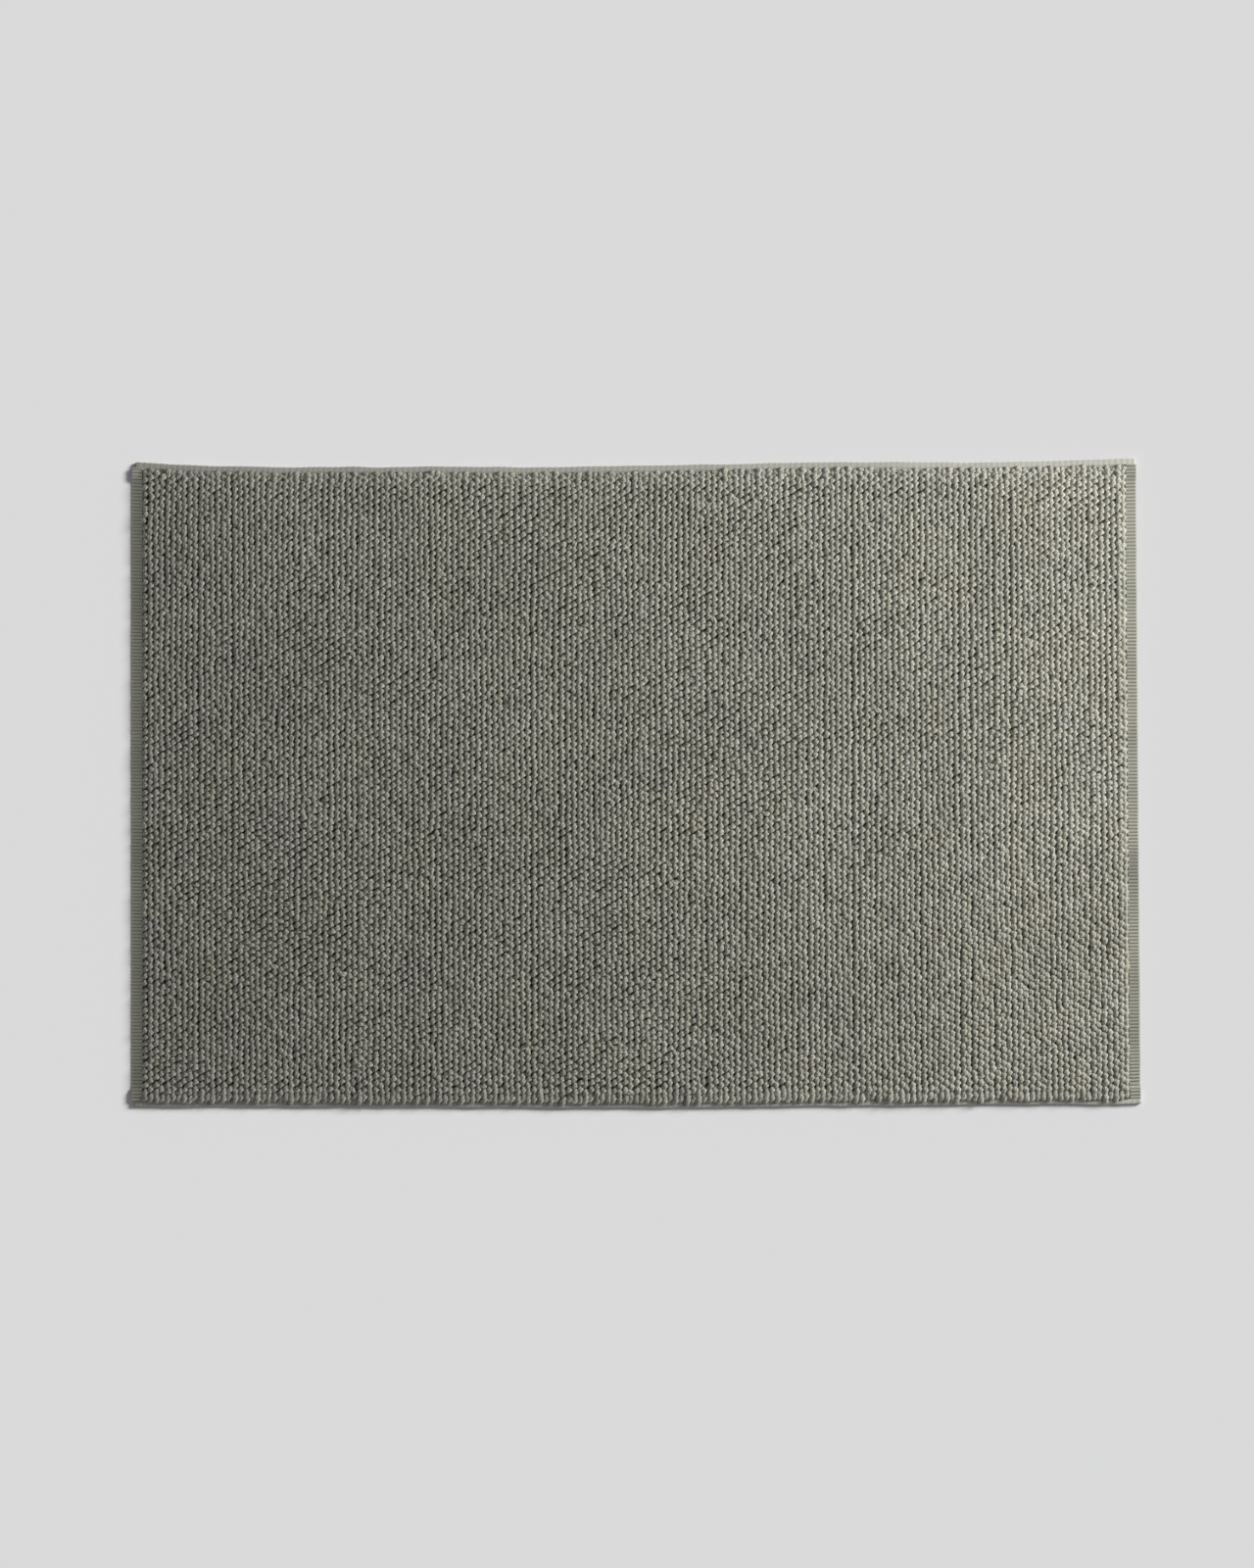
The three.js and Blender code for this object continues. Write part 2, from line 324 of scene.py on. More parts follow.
def woven(name, base, dark, light, warp, weft, depth=0.00022, rib=False):
    """Close plain weave: warp threads along Y at one pitch, weft along X at another, over and
    under each other."""
    n = Nodes(name)
    x, y, _ = n.xyz()
    a = n.wave(x, warp * MM)
    b = n.wave(y, weft * MM)
    over = n.math("MULTIPLY", n.wave(x, 2 * warp * MM), n.wave(y, 2 * weft * MM))
    under = n.math(
        "MULTIPLY",
        n.math("SUBTRACT", 1.0, n.wave(x, 2 * warp * MM)),
        n.math("SUBTRACT", 1.0, n.wave(y, 2 * weft * MM)),
    )
    checks = n.math("ADD", over, under, clamp=True)
    threads = n.math("MULTIPLY_ADD", n.math("MULTIPLY", a, b), 0.6, n.math("MULTIPLY", checks, 0.4))
    fibre = n.noise(4200.0, 3.0, 0.6)
    tone = n.math("MULTIPLY_ADD", threads, 0.34, n.math("MULTIPLY_ADD", fibre, 0.42, 0.1))
    tone = n.math("MULTIPLY_ADD", n.math("SUBTRACT", n.noise(14.0, 2.0), 0.5), 0.5, tone)
    colour = n.ramp(tone, [(0.15, dark), (0.5, base), (0.85, light)])
    # Painted shade: ribs darken down into their grooves, from the piece's tone attribute.
    if rib:
        colour = n.mix("MULTIPLY", 1.0, colour, n.grey(n.range(n.attribute("tone"), 0.0, 0.95, 0.28, 1.08)))
    rough = n.range(fibre, 0.25, 0.75, 0.84, 0.98)
    normal = n.bump(threads, depth, 0.9)
    normal = n.bump(fibre, 0.00009, 0.7, normal)
    return n.cloth(colour, rough, normal)


def scaled(colour, by):
    return tuple(c * by for c in colour)


def sewing_thread():
    n = Nodes("sewing_thread")
    around, along = n.uv()
    twist = n.wave(n.math("MULTIPLY_ADD", around, 3.0, n.math("MULTIPLY", along, 1 / 0.9)), 1.0)
    fibre = n.noise(9000.0, 2.0, 0.5)
    tone = n.math("MULTIPLY_ADD", twist, 0.5, n.math("MULTIPLY", fibre, 0.5))
    colour = n.ramp(tone, [(0.1, scaled(YARN_DARK, 0.9)), (0.9, scaled(YARN_LIGHT, 1.05))])
    rough = n.range(fibre, 0.25, 0.75, 0.5, 0.68)
    normal = n.bump(twist, 0.00008, 0.9)
    return n.cloth(colour, rough, normal, sheen=0.1, specular=0.4)


def label_tape():
    """Blank satin tape: very fine warp floats and a slanting step of the weave."""
    n = Nodes("label_tape")
    x, y, _ = n.xyz()
    floats = n.wave(x, 0.00028)
    step = n.wave(n.math("MULTIPLY_ADD", x, 0.4, y), 0.0011)
    fibre = n.noise(6000.0, 2.0, 0.5)
    tone = n.math("MULTIPLY_ADD", floats, 0.3, n.math("MULTIPLY_ADD", step, 0.2, n.math("MULTIPLY", fibre, 0.5)))
    colour = n.ramp(tone, [(0.1, (0.66, 0.64, 0.58)), (0.9, (0.86, 0.84, 0.78))])
    rough = n.range(fibre, 0.25, 0.75, 0.42, 0.6)
    normal = n.bump(n.math("ADD", floats, step), 0.00005, 0.7)
    return n.cloth(colour, rough, normal, sheen=0.05, specular=0.45)


M_YARN = loop_yarn()
M_GROUND = woven("woven_cloth", scaled(YARN, 1.0), scaled(YARN_DARK, 0.92), scaled(YARN_LIGHT, 1.08), 1.2, 1.45)
M_RIB = woven("ribbed_cloth", scaled(YARN, 0.86), scaled(YARN_DARK, 0.78), scaled(YARN_LIGHT, 0.94), 0.9, PICK / 2, 0.00014, rib=True)
M_HEAD = woven("heading_cloth", (0.480, 0.477, 0.434), (0.405, 0.402, 0.362), (0.590, 0.586, 0.538), 0.80, 0.72, 0.00018)
M_THREAD = sewing_thread()
M_LABEL = label_tape()


def base_z(y):
    """How high the cloth's underside lies: it rides up on the turned hems."""
    t = np.clip((np.abs(y) - LANDED) / (RAISED - LANDED), 0, 1)
    return HEM_RAISE * t * t * (3 - 2 * t)


# ---- loops --------------------------------------------------------------------------------
RINGS, SIDES, PLIES = 9, 6, 2


def make_loops():
    r = np.random.default_rng(31)
    i, j = np.meshgrid(np.arange(COLUMNS), np.arange(LOOPS), indexing="ij")
    i, j = i.reshape(-1), j.reshape(-1)
    count = len(i)
    x = (i + 0.5) * COLUMN_PITCH - PILE_X
    y = (j - (LOOPS - 1) / 2) * LOOP_PITCH + np.where(i % 2, 0.25, -0.25) * LOOP_PITCH

    # Columns wander a little, loops crowd and spread, and each sits slightly off its place.
    edge_x = np.clip((PILE_X - np.abs(x)) / 20, 0, 1)
    edge_y = np.clip((CLOTH_END - np.abs(y)) / 18, 0, 1)
    wander = Waves(11, 90, stretch=2.2)
    crowd = Waves(12, 70)
    kink = Waves(13, 24)
    column_shift = r.normal(0, 0.22, COLUMNS)
    x = x + (0.75 * wander(x, y) + 0.42 * kink(x, y) + column_shift[i]) * edge_x + r.normal(0, 0.27, count)
    y = y + 0.8 * crowd(x, y) * edge_y + r.normal(0, 0.26, count)

    # Which way the loops lie over: mostly up to the right, with patches that go the other way.
    regional = Waves(21, 210)(x, y) + 0.6 * Waves(22, 95)(x, y)
    lean = 35 + 12 * regional + r.normal(0, 10, count)
    lean -= 44 * np.exp(-(((x - 330) / 150) ** 2) - ((y + 185) / 110) ** 2)
    lean -= 36 * np.exp(-(((x + 360) / 80) ** 2) - ((y - 215) / 70) ** 2)
    height = HEIGHT - 0.45 + 0.22 * Waves(23, 60)(x, y) + r.normal(0, 0.30, count)
    radius = 1.88 + 0.10 * np.clip((x - 40) / 380, 0, 1) + 0.06 * Waves(24, 45)(x, y) + r.normal(0, 0.08, count)
    spread = 1.55 + r.normal(0, 0.15, count)
    tip_x = 0.25 * Waves(25, 75)(x, y) + r.normal(0, 0.15, count)
    tip_y = 0.40 * Waves(26, 75)(x, y) + r.normal(0, 0.24, count)
    nod = 0.55 + 0.2 * Waves(28, 50)(x, y) + r.normal(0, 0.16, count)  # lies over the next one

    # A few loops are snagged: turned across the column, pulled longer or pressed down.
    odd = r.random(count) < 0.022
    lean = np.where(odd, lean + r.normal(0, 42, count), lean)
    spread = np.where(odd, spread * r.uniform(0.9, 1.5, count), spread)
    height = height + np.where(odd, r.uniform(-0.9, 0.25, count), 0)

    # At the hems the last rows splay outwards, most of all over the near one.
    from_hem = np.minimum(j, LOOPS - 1 - j)
    side = np.sign(y)
    near = y < 0
    y -= np.where((from_hem == 0) & ~near, 1.2, 0) + np.where((from_hem == 1) & ~near, 0.4, 0)
    y += np.where(from_hem == 0, r.normal(0, 0.45, count), 0)
    stagger = np.where(i % 2, 0.25, -0.25) * LOOP_PITCH
    y -= stagger * np.select([from_hem == 0, from_hem == 1], [0.6, 0.25], 0.0)
    splay = np.select([(from_hem == 0) & near, from_hem == 0, (from_hem == 1) & near], [2.2, 0.5, 1.0], 0.0)
    tip_y += side * splay * r.uniform(0.55, 1.25, count)
    spread += np.select([(from_hem == 0) & near, from_hem == 0], [0.3, 0.25], 0.0)
    height -= np.select([(from_hem == 0) & near, from_hem == 0, from_hem == 1], [1.4, 2.1, 0.35], 0.0) * r.uniform(0.6, 1.3, count)
    lean = np.where(from_hem == 0, lean * 0.7, lean)
    radius += np.where(from_hem == 0, 0.16, 0)
    last = np.minimum(i, COLUMNS - 1 - i)
    # Along the selvedges the last columns roll in, so that their outer legs show as a flank.
    tip_x += np.select([i == 0, i == COLUMNS - 1, i == COLUMNS - 2], [0.6, -1.4, -0.4], 0.0)
    height -= np.select([i == COLUMNS - 1, i == 0], [1.0, 0.5], 0.0)
    lean = np.where(i == COLUMNS - 1, lean * 0.4, lean)
    swell = np.where(last == 0, 0.12, 0.65)
    height = np.minimum(height, HEIGHT + 0.25)

    # Where the loop's feet stand.
    px, py = lie(x, y)
    foot_z = base_z(y) + CLOTH - 0.15

    # The centreline: two legs and a rounded top, in the plane of the lean.
    theta = np.array([0, 0.13, 0.25, 0.375, 0.5, 0.625, 0.75, 0.87, 1.0]) * math.pi
    c, s = np.cos(theta), np.sin(theta)
    across = -np.sign(c) * np.abs(c) ** 0.85
    up = s**0.82
    lean = np.radians(lean)
    e = np.stack([np.sin(lean), np.cos(lean)], -1)  # along the loop, in plan
    f = np.stack([np.cos(lean), -np.sin(lean)], -1)  # across it
    rise = height - 1.05 * radius - foot_z
    rings = np.zeros((count, RINGS, 3))
    width = spread[:, None] * across[None, :] + nod[:, None] * up[None, :] ** 2
    # The two legs twist round each other, so the loop's top crosses its feet at a slant.
    twist = r.normal(0.32, 0.22, count)[:, None] * (1 - s[None, :]) * np.sign(across)[None, :]
    rings[..., 0] = px[:, None] + width * e[:, :1] + twist * f[:, :1] + tip_x[:, None] * up[None, :] ** 1.5
    rings[..., 1] = py[:, None] + width * e[:, 1:] + twist * f[:, 1:] + tip_y[:, None] * up[None, :] ** 1.5
    rings[..., 2] = foot_z[:, None] + rise[:, None] * up[None, :] + 0.9 * across * up**2

    tangent = np.gradient(rings, axis=1)
    tangent /= np.linalg.norm(tangent, axis=2, keepdims=True)
    side_way = np.broadcast_to(np.concatenate([f, np.zeros((count, 1))], 1)[:, None, :], rings.shape)
    side_way = side_way - (side_way * tangent).sum(2, keepdims=True) * tangent
    side_way /= np.linalg.norm(side_way, axis=2, keepdims=True)
    normal = np.cross(side_way, tangent)

    step = np.linalg.norm(np.diff(rings, axis=1), axis=2)
    run = np.concatenate([np.zeros((count, 1)), np.cumsum(step, 1)], 1)

    # The yarn is two soft plies laid round each other: each is a tube of its own.
    a = np.arange(SIDES) / SIDES * TAU
    taper = 1 + swell[:, None] * (1 - up)[None, :] ** 0.6  # the legs swell where they crowd together
    ply_radius = 0.83 * radius[:, None] * taper * (1 + r.normal(0, 0.04, (count, RINGS)))
    offset = 0.34 * radius[:, None] * taper * (1 + r.normal(0, 0.08, (count, RINGS)))
    wind = TAU * (run - run[:, RINGS // 2][:, None]) / 12.5 + (1.2 + r.normal(0, 0.25, count))[:, None]
    verts = np.zeros((count, PLIES, RINGS, SIDES, 3))
    for p in range(PLIES):
        w = wind + TAU * p / PLIES
        centre = rings + offset[..., None] * (np.cos(w)[..., None] * normal + np.sin(w)[..., None] * side_way)
        rad = ply_radius[..., None] * (1 + r.normal(0, 0.02, (count, RINGS, SIDES)))
        verts[:, p] = (
            centre[:, :, None, :]
            + rad[..., None] * np.cos(a)[None, None, :, None] * normal[:, :, None, :]
            + rad[..., None] * np.sin(a)[None, None, :, None] * side_way[:, :, None, :]
        )
    # Feet end on the cloth, and follow it where it slopes up to a hem. No leg dips below that.
    stand = base_z(verts[..., 1] + (y - py)[:, None, None, None]) + CLOTH - 0.15
    verts[:, :, 0, :, 2] = stand[:, :, 0]
    verts[:, :, -1, :, 2] = stand[:, :, -1]
    verts[..., 2] = np.maximum(verts[..., 2], stand)
    tone = 0.48 + r.normal(0, 0.15, count) + 0.12 * Waves(27, 30)(x, y)
    # Painted light: loops are lighter towards the hems, most of all towards the far one.
    tone += 0.30 * np.exp(-((HALF_Y - y) / 60)) + 0.10 * np.exp(-((HALF_Y + y) / 60))
    # Painted shade: the last column on the right is darker.
    tone += np.select([(from_hem == 0) & ~near, i == COLUMNS - 1], [0.0, -0.2], 0.0)
    # Painted shade and highlight: each loop is darker down its legs and lighter over its top.
    tone = tone[:, None] + 0.95 * (up - 0.8)[None, :] + r.normal(0, 0.08, (count, RINGS))
    return verts, run, np.clip(tone, 0, 1), j


def loop_bands(pieces=19):
    verts, run, tone, row = make_loops()
    body = grid_faces(RINGS, SIDES, wrap=True)
    caps = np.stack([np.arange(SIDES)[::-1], np.arange(SIDES) + (RINGS - 1) * SIDES])
    # UVs of one ply: turns round it, and millimetres along it.
    quad_u = np.tile(np.stack([np.arange(SIDES), np.arange(SIDES) + 1, np.arange(SIDES) + 1, np.arange(SIDES)], -1) / SIDES, (RINGS - 1, 1))
    quad_ring = np.repeat(np.arange(RINGS - 1), SIDES)[:, None] + np.array([0, 0, 1, 1])
    made = []
    edges = np.round(np.linspace(0, LOOPS, pieces + 1)).astype(int)
    for k in range(pieces):
        pick = np.flatnonzero((row >= edges[k]) & (row < edges[k + 1]))
        n = len(pick) * PLIES
        v = verts[pick].reshape(-1, 3)
        start = (np.arange(n) * RINGS * SIDES)[:, None, None]
        f = (body[None] + start).reshape(-1, 4)
        g = (caps[None] + start).reshape(-1, SIDES)
        u = np.zeros((n, len(body), 4, 2), np.float32)
        u[..., 0] = quad_u[None]
        u[..., 1] = np.repeat(run[pick], PLIES, axis=0)[:, quad_ring]
        cap_uv = np.zeros((n, 2, SIDES, 2), np.float32)
        uv = np.concatenate([u.reshape(-1, 2), cap_uv.reshape(-1, 2)])
        ob = mesh_piece(
            f"loop_rows_{k + 1:02d}", v, [f, g], uv,
            attributes={"tone": np.repeat(np.repeat(tone[pick], PLIES, axis=0).reshape(-1), SIDES)},
        )
        ob.data.materials.append(M_YARN)
        made.append(ob)
    return made


# ---- ground cloth -------------------------------------------------------------------------
def ground_cloth():
    """The woven sheet: fine picks on its underside, and its ends carried up over the hems."""
    nx, picks, per = 89, int(round(2 * CLOTH_END / PICK)), 4
    ny = picks * per + 1
    xs = np.linspace(-PILE_X, PILE_X, nx)
    ys = np.linspace(-CLOTH_END, CLOTH_END, ny)
    Y, X = np.meshgrid(ys, xs, indexing="ij")
    px, py = lie(X, Y)
    pick = 0.5 - 0.5 * np.cos(TAU * (Y + CLOTH_END) / PICK)
    under = base_z(Y) + 0.16 * pick + 0.02
    lo, hi = (np.array(v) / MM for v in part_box("care_label"))
    on_label = (np.abs(X - (lo[0] + hi[0]) / 2) < 24) & (Y < hi[1] + 3)
    under = np.where(on_label, np.maximum(under, base_z(Y) + 0.36), under)  # it lies on the label
    top_rows = picks + 1
    yt = np.linspace(-CLOTH_END, CLOTH_END, top_rows)
    YT, XT = np.meshgrid(yt, xs, indexing="ij")
    tx, ty = lie(XT, YT)
    over = base_z(YT) + CLOTH - 0.03
    v = np.concatenate([
        np.stack([px, py, under], -1).reshape(-1, 3),
        np.stack([tx, ty, over], -1).reshape(-1, 3),
    ])
    n = ny * nx
    faces = [grid_faces(ny, nx, flip=True), grid_faces(top_rows, nx, n)]
    # Ends: one quad a column. Sides: a fan of small faces for each pick.
    c = np.arange(nx - 1)
    first, last, top_last = 0, (ny - 1) * nx, n + (top_rows - 1) * nx
    faces.append(np.stack([first + c, first + c + 1, n + c + 1, n + c], -1))
    faces.append(np.stack([last + c, top_last + c, top_last + c + 1, last + c + 1], -1))
    k = np.arange(picks)
    for edge, turn in ((0, 1), (nx - 1, -1)):
        low_rows = [(k * per + s) * nx + edge for s in range(per + 1)]
        a, b = n + k * nx + edge, n + (k + 1) * nx + edge
        poly = np.stack([a, *low_rows, b], -1)
        faces.append(poly if turn > 0 else poly[:, ::-1])
    ob = mesh_piece("ground_cloth_sheet", v, faces)
    ob.data.materials.append(M_GROUND)
    return ob


# ---- selvedges ----------------------------------------------------------------------------
def selvedge(name, side, seed, groove):
    """Flat woven edge: one rib for each pick, broken into beads where the warp pulls tight, and
    a scalloped outer edge where each pick turns back. groove sets the painted shade between ribs: 0 leaves it darkest,
    1 takes it away."""
    rng_ = np.random.default_rng(seed)
    picks, per, nx = int(round(2 * CLOTH_END / PICK)), 6, 21
    ny = picks * per + 1
    w = np.linspace(0, 1, nx)  # 0 at the pile, 1 at the outer edge
    ys = np.linspace(-CLOTH_END, CLOTH_END, ny)
    W, Y = np.meshgrid(w, ys)
    outer = HALF_X - 0.35
    scallop = 0.34 * (0.5 - 0.5 * np.cos(TAU * (Y + CLOTH_END) / PICK))
    uneven = 0.3 * Waves(seed + 1, 38)(Y, 0 * Y)
    X = PILE_X - 0.2 + (outer - PILE_X + 0.2 + scallop + uneven * 0.6) * W
    X = X + 0.25 * Waves(seed + 2, 25)(Y, W * 9) * (1 - W)
    phase = np.repeat(np.cumsum(rng_.normal(0, 0.16, picks + 1)), per)[:ny]
    rib = 0.5 - 0.5 * np.cos(TAU * (Y + CLOTH_END) / PICK)
    rib_height = np.repeat(rng_.uniform(0.82, 1.1, picks + 1), per)[:ny][:, None]
    beads = np.clip(Waves(seed + 3, 55)(Y, 0 * Y) + 0.15, 0, 1)
    bead = 0.5 + 0.5 * np.cos(TAU * X / 1.85 + np.pi * np.floor((Y + CLOTH_END) / PICK) + phase[:, None])
    rise = 0.80 * rib**0.6 * rib_height * (1 - 0.7 * beads * (1 - bead))
    # Painted shade: the cloth is darker in colour in the grooves between ribs and between beads; the tone attribute
    # carries it.
    depth = (rib**0.4 * (1 - 0.6 * beads * (1 - bead))).reshape(-1)
    depth = groove + (1 - groove) * depth
    round_off = np.clip((1 - W) * (outer - PILE_X) / 1.1, 0, 1)
    thickness = CLOTH - 0.35 + rise
    centre = base_z(Y) + CLOTH / 2
    top = centre + (thickness - CLOTH / 2) * np.sqrt(1 - (1 - round_off) ** 2)
    under = base_z(Y) + 0.03 + (CLOTH / 2 - 0.05) * (1 - np.sqrt(1 - (1 - round_off) ** 2))
    under = under + 0.12 * rib
    px, py = lie(side * X, Y)
    v = np.concatenate([np.stack([px, py, top], -1).reshape(-1, 3), np.stack([px, py, under], -1).reshape(-1, 3)])
    n = ny * nx
    flip = side < 0
    faces = [grid_faces(ny, nx, 0, flip=flip), grid_faces(ny, nx, n, flip=not flip)]
    r0 = np.arange(ny - 1)
    c0 = np.arange(nx - 1)
    inner = np.stack([r0 * nx, (r0 + 1) * nx, n + (r0 + 1) * nx, n + r0 * nx], -1)
    outer_f = np.stack([r0 * nx + nx - 1, n + r0 * nx + nx - 1, n + (r0 + 1) * nx + nx - 1, (r0 + 1) * nx + nx - 1], -1)
    end0 = np.stack([c0, n + c0, n + c0 + 1, c0 + 1], -1)
    m = (ny - 1) * nx
    end1 = np.stack([m + c0, m + c0 + 1, n + m + c0 + 1, n + m + c0], -1)
    for q in (inner, outer_f, end0, end1):
        faces.append(q[:, ::-1] if flip else q)
    ob = mesh_piece(name, v, faces, attributes={"tone": np.concatenate([depth, depth])})
    ob.data.materials.append(M_RIB)
    return ob


# ---- hems ---------------------------------------------------------------------------------
def band(line, thickness):
    p = np.array(line, float)
    d = np.gradient(p, axis=0)
    d /= np.linalg.norm(d, axis=1, keepdims=True)
    nrm = np.stack([-d[:, 1], d[:, 0]], -1) * thickness / 2
    return np.concatenate([p + nrm, (p - nrm)[::-1]])


def arc(cy, cz, r, a0, a1, steps):
    a = np.radians(np.linspace(a0, a1, steps + 1))
    return np.stack([cy + r * np.cos(a), cz + r * np.sin(a)], -1)


def hem_outline():
    """The turned heading in section: out along the top, round the fold, back underneath, round
    again, and its raw edge tucked in between."""
    t = HEADING / 2
    outer = (HEM_RAISE + HEADING) / 2 - t
    fold_y, fold_z = HALF_Y - outer - t, t + outer
    inner = (HEADING + 0.1) / 2
    inner_y = HALF_Y - HEM_REACH + inner + t
    line = np.concatenate([
        np.stack([np.linspace(CLOTH_END + 0.06, fold_y - 0.4, 5), np.full(5, t + 2 * outer)], -1),
        arc(fold_y, fold_z, outer, 90, -90, 12),
        np.stack([np.linspace(fold_y - 0.8, inner_y + 0.5, 9), np.full(9, t)], -1),
        arc(inner_y, t + inner, inner, 270, 90, 8),
        np.stack([np.linspace(inner_y + 0.8, HALF_Y - 4.5, 5), np.full(5, t + 2 * inner)], -1),
    ])
    return band(line, HEADING - 0.06)


def hem(name, side, x0, x1, seed):
    outline = hem_outline()
    step = 1.2
    xs = np.linspace(x0, x1, int((x1 - x0) / step) + 1)
    n = len(outline)
    Y = np.broadcast_to(outline[:, 0], (len(xs), n)).copy()
    Z = np.broadcast_to(outline[:, 1], (len(xs), n)).copy()
    X = np.broadcast_to(xs[:, None], Y.shape).copy()
    # The stitches pull the hem in between them, and each column of loops puckers its edge.
    from_fold = np.clip((Y - (HALF_Y - 6)) / 6, 0, 1)
    pucker = np.cos(TAU * X / COLUMN_PITCH + 1.3 * Waves(seed, 30)(X, 0 * X))
    slack = Waves(seed + 1, 22)(X, 0 * X)
    top = Z > HEM_RAISE + 0.4
    Y += from_fold * (0.16 * pucker + 0.3 * slack + 0.35 * Waves(seed + 2, 75)(X, 0 * X))
    Z += np.where(top, 1, 0.35) * from_fold * (1 - from_fold) * (0.5 * pucker + 0.35 * slack)
    mid = HEM_RAISE / 2 + 0.6
    Z = mid + (Z - mid) * (1 + 0.05 * from_fold * slack)
    groove = np.exp(-(((Y - (HALF_Y - STITCH_IN)) / 0.42) ** 2)) * (Z < 0.2)
    Z += 0.42 * groove
    Z = np.maximum(Z, 0.02)
    px, py = lie(X, side * Y)
    v = np.stack([px, py, Z], -1).reshape(-1, 3)
    q = grid_faces(len(xs), n, wrap=True, flip=side < 0)
    caps = hem_caps(n, len(xs), side)
    ob = mesh_piece(name, v, [q, *caps])
    ob.data.materials.append(M_HEAD)
    return ob


def hem_caps(n, rows, side):
    """Ends of a band: quads between its two sides."""
    k = np.arange(n // 2 - 1)
    first = np.stack([k, k + 1, n - 2 - k, n - 1 - k], -1)
    lastp = first + (rows - 1) * n
    a, b = first[:, ::-1], lastp
    return (a, b) if side > 0 else (a[:, ::-1], b[:, ::-1])


# ---- sewn lines ---------------------------------------------------------------------------
def stitches(name, side, x0, x1, z, up, seed):
    """Lockstitch: each stitch lies on the cloth and dives at its ends to meet the other thread."""
    r = np.random.default_rng(seed)
    pitch, per, sides = 3.4, 7, 6
    count = int((x1 - x0) / pitch)
    s = np.arange(count * per + 1) / per
    phase = s - np.floor(s)
    X = x0 + s * pitch
    Y = side * (HALF_Y - STITCH_IN) + 0.05 * Waves(seed, 20)(X, 0 * X) + 0.06 * np.sin(TAU * phase) * side
    dive = (np.abs(phase - 0.5) * 2) ** 6
    Z = z - up * 0.34 * dive + up * 0.05 * np.sin(np.pi * phase)
    px, py = lie(X, Y)
    line = np.stack([px, py, Z], -1)
    t = np.gradient(line, axis=0)
    t /= np.linalg.norm(t, axis=1, keepdims=True)
    w = np.cross(t, [0, 0, 1.0])
    w /= np.linalg.norm(w, axis=1, keepdims=True)
    nrm = np.cross(w, t)
    a = np.arange(sides) / sides * TAU
    rad = 0.21 * (1 - 0.22 * dive)
    v = line[:, None] + rad[:, None, None] * (np.cos(a)[None, :, None] * nrm[:, None] + np.sin(a)[None, :, None] * w[:, None])
    q = grid_faces(len(line), sides, wrap=True, flip=True)
    caps = np.stack([np.arange(sides), (np.arange(sides) + (len(line) - 1) * sides)[::-1]])
    run = np.concatenate([[0], np.cumsum(np.linalg.norm(np.diff(line, axis=0), axis=1))])
    rows = np.repeat(np.arange(len(line) - 1), sides)
    col = np.tile(np.arange(sides), len(line) - 1)
    u = np.stack([col, col + 1, col + 1, col], -1)[:, ::-1] / sides
    vv = np.stack([run[rows], run[rows], run[rows + 1], run[rows + 1]], -1)[:, ::-1]
    uv = np.concatenate([np.stack([u, vv], -1).reshape(-1, 2), np.zeros((2 * sides, 2))])
    ob = mesh_piece(name, v.reshape(-1, 3), [q, caps], uv)
    ob.data.materials.append(M_THREAD)
    return ob


# ---- care label ---------------------------------------------------------------------------
def care_label():
    """A blank tape folded in half: both cut ends lie between the cloth and the front hem, and the
    fold hangs free on the cloth's underside."""
    lo, hi = (np.array(v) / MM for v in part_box("care_label"))
    ys = np.linspace(lo[1] + 0.1, hi[1] - 0.3, 60)
    xs = np.linspace(lo[0] + 0.15, hi[0] - 0.15, 27)
    mid = np.minimum(base_z(ys) + 0.16, HEM_RAISE + 0.16)
    r = 0.075
    line = np.concatenate([
        np.stack([ys, mid + r], -1),
        arc(ys[-1], mid[-1], r, 60, -60, 4),
        np.stack([ys, mid - r], -1)[::-1],
    ])
    outline = band(line, 0.1)
    n = len(outline)
    X = np.broadcast_to(xs[:, None], (len(xs), n))
    px, py = lie(X, np.broadcast_to(outline[:, 0], X.shape))
    wave = 0.015 * np.sin(xs / 3.1)[:, None]
    v = np.stack([px, py, np.maximum(outline[None, :, 1] + wave, 0.02)], -1)
    q = grid_faces(len(xs), n, wrap=True, flip=True)
    ob = mesh_piece("care_label_tape", v.reshape(-1, 3), [q, *hem_caps(n, len(xs), -1)])
    ob.data.materials.append(M_LABEL)
    return ob


# ---- build --------------------------------------------------------------------------------
bands = loop_bands()
sheet = ground_cloth()
# The left selvedge's painted groove shade is a little lighter than the right's.
edge_left = selvedge("selvedge_left_ribbed", -1, 41, 0.1)
edge_right = selvedge("selvedge_right_ribbed", 1, 51, 0.0)
hem_front = hem("hem_front_turned", -1, -427.6, 430, 61)
hem_back = hem("hem_back_turned", 1, -426.6, 428.8, 71)
seams = [
    stitches("needle_stitches_front", -1, -PILE_X + 1, PILE_X - 1, HEM_RAISE + CLOTH + 0.3, 1, 81),
    stitches("needle_stitches_back", 1, -PILE_X + 1, PILE_X - 1, HEM_RAISE + CLOTH + 0.3, 1, 82),
    stitches("bobbin_stitches_front", -1, -425, 427, 0.26, -1, 83),
    stitches("bobbin_stitches_back", 1, -424, 425.8, 0.26, -1, 84),
]
label = care_label()

pieces = [
    *[(b, "loop_pile", "loop_yarn") for b in bands],
    (sheet, "ground_cloth", "woven_cloth"),
    (edge_left, "selvedge_left", "ribbed_cloth"),
    (edge_right, "selvedge_right", "ribbed_cloth"),
    (hem_front, "hem_front", "heading_cloth"),
    (hem_back, "hem_back", "heading_cloth"),
    (seams[0], "needle_thread_front", "sewing_thread"),
    (seams[1], "needle_thread_back", "sewing_thread"),
    (seams[2], "bobbin_thread_front", "sewing_thread"),
    (seams[3], "bobbin_thread_back", "sewing_thread"),
    (label, "care_label", "label_tape"),
]
for piece, node, slot in pieces:
    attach(piece, "root")
    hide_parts(node)

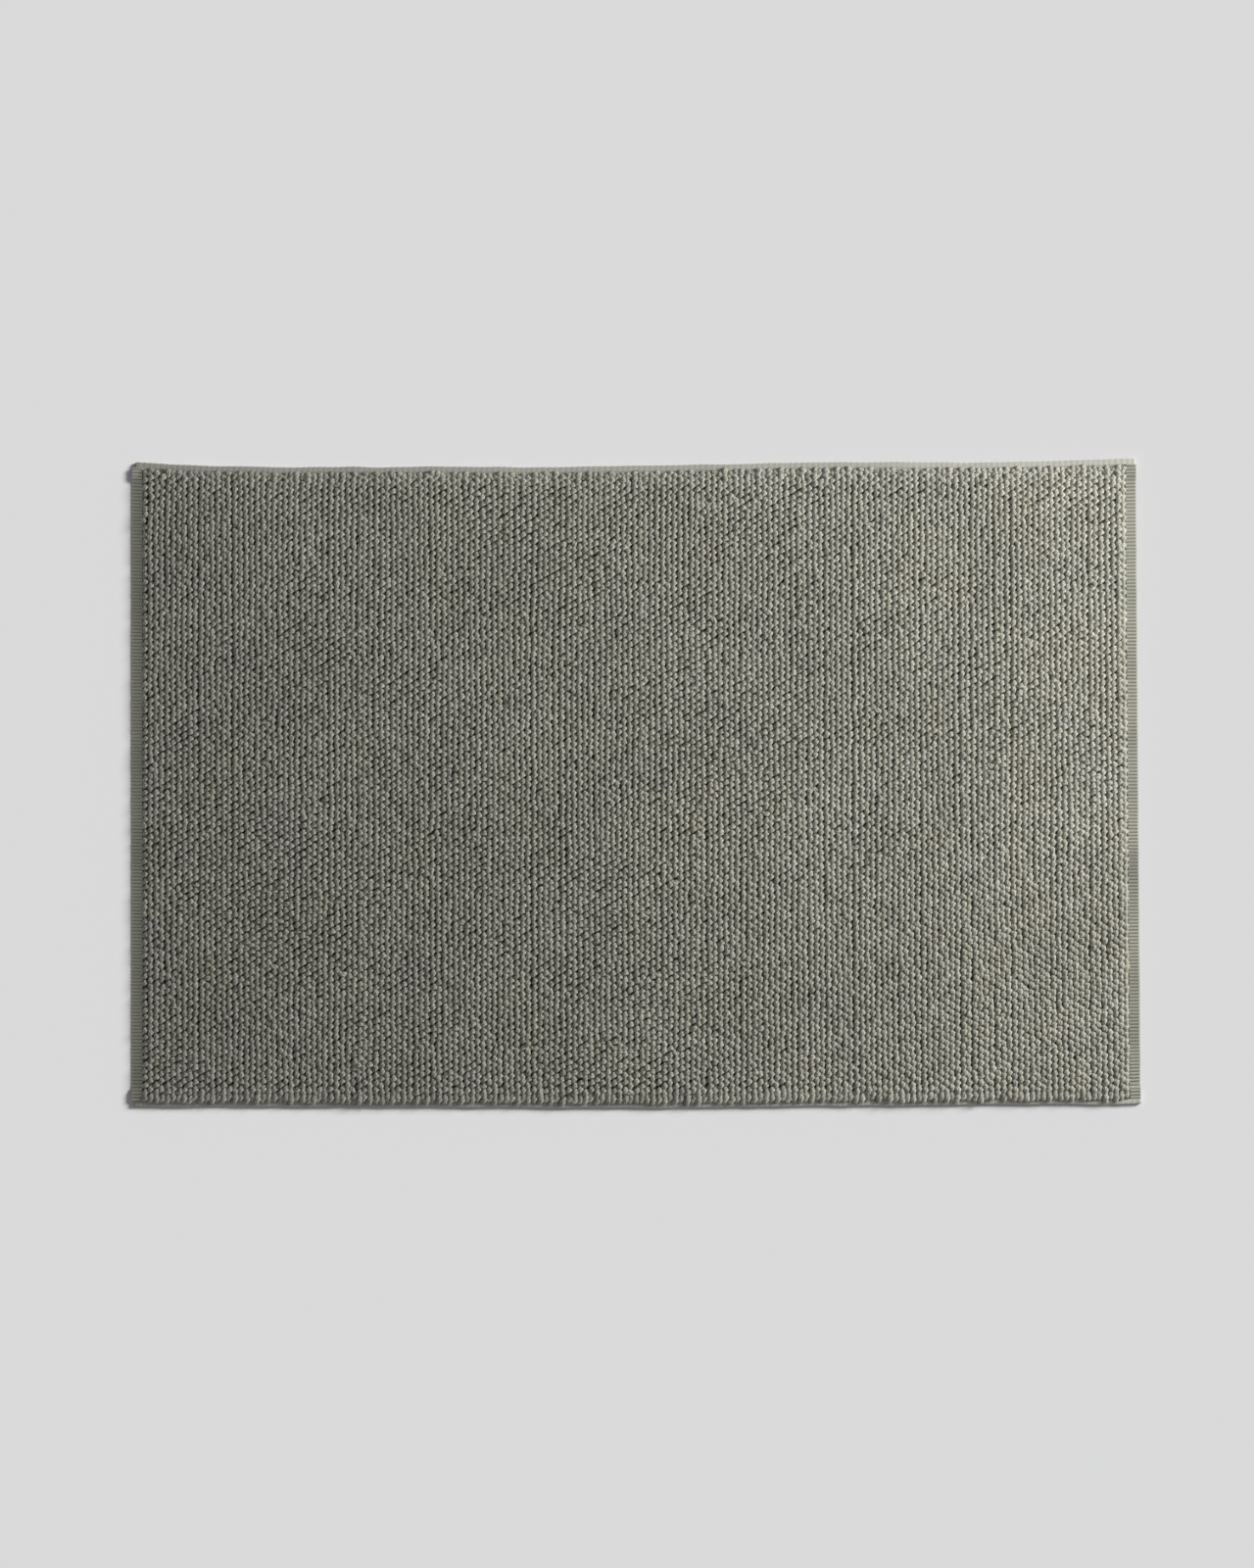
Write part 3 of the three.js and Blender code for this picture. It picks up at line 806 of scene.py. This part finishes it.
# ---- floor, light and camera --------------------------------------------------------------
def floor():
    """A pale floor of one even grey."""
    me = bpy.data.meshes.new("floor")
    s = 6.0
    me.from_pydata([(-s, -s, 0), (s, -s, 0), (s, s, 0), (-s, s, 0)], [], [(0, 1, 2, 3)])
    ob = bpy.data.objects.new("floor", me)
    bpy.context.scene.collection.objects.link(ob)
    n = Nodes("floor")
    n.bsdf.inputs["Base Color"].default_value = (0.80, 0.80, 0.80, 1)
    n.bsdf.inputs["Roughness"].default_value = 0.95
    n.bsdf.inputs["Specular IOR Level"].default_value = 0.1
    ob.data.materials.append(n.material)
    return ob


stage_floor = floor()


def area_light(name, where, size, power, colour=(1, 1, 1), at=(0, 0, 0)):
    data = bpy.data.lights.new(name, "AREA")
    data.shape = "DISK"
    data.size = size
    data.energy = power
    data.color = colour
    ob = bpy.data.objects.new(name, data)
    ob.location = where
    d = np.array(at, float) - np.array(where, float)
    d /= np.linalg.norm(d)
    from mathutils import Vector
    ob.rotation_euler = Vector(d.tolist()).to_track_quat("-Z", "Y").to_euler()
    bpy.context.scene.collection.objects.link(ob)
    return ob


def only_on(light, objects):
    """The studio's lamps are flagged: each lights only these objects, though everything shades."""
    c = bpy.data.collections.new(light.name + "_lights")
    for o in objects:
        c.objects.link(o)
    light.light_linking.receiver_collection = c


KEY = (1.70, 0.48, 0.74)
key = area_light("key", KEY, 0.50, 38.4, (1.0, 0.99, 0.965), (0.05, 0.0, 0.0))
only_on(key, [p for p, _, _ in pieces])
back = area_light("left_fill", (-1.3, 0.2, 0.9), 0.8, 6.5, (1, 1, 1), (-0.4, 0.0, 0.0))
only_on(back, [p for p, _, _ in pieces if p.name.startswith("selvedge_left")])
fill = area_light("fill", (0.70, 0.34, 0.80), 0.9, 2.2, (0.985, 0.99, 1.0), (0.0, 0.0, 0.0))
only_on(fill, [p for p, _, _ in pieces])
sun_data = bpy.data.lights.new("floor_light", "SUN")
sun_data.energy = 4.66
sun_data.angle = math.radians(20)
sun = bpy.data.objects.new("floor_light", sun_data)
sun.rotation_euler = (math.radians(-24.5), math.radians(60), 0)
bpy.context.scene.collection.objects.link(sun)
only_on(sun, [stage_floor])
world = bpy.data.worlds.new("studio")
world.use_nodes = True
background = next(n for n in world.node_tree.nodes if n.type == "BACKGROUND")
background.inputs[0].default_value = (0.99, 0.993, 1.0, 1)
background.inputs[1].default_value = 0.20
bpy.context.scene.world = world

camera_data = bpy.data.cameras.new("camera")
camera = bpy.data.objects.new("camera", camera_data)
bpy.context.scene.collection.objects.link(camera)
DISTANCE = 3.0
camera_data.sensor_fit = "AUTO"
camera_data.sensor_width = 36
camera_data.lens = 36 * DISTANCE / 1.3386
camera_data.clip_end = 50
camera.location = (-0.00732, 0.00025, DISTANCE)
camera.rotation_euler = (0, 0, 0)
bpy.context.scene.camera = camera
bpy.context.scene.view_settings.view_transform = "Standard"
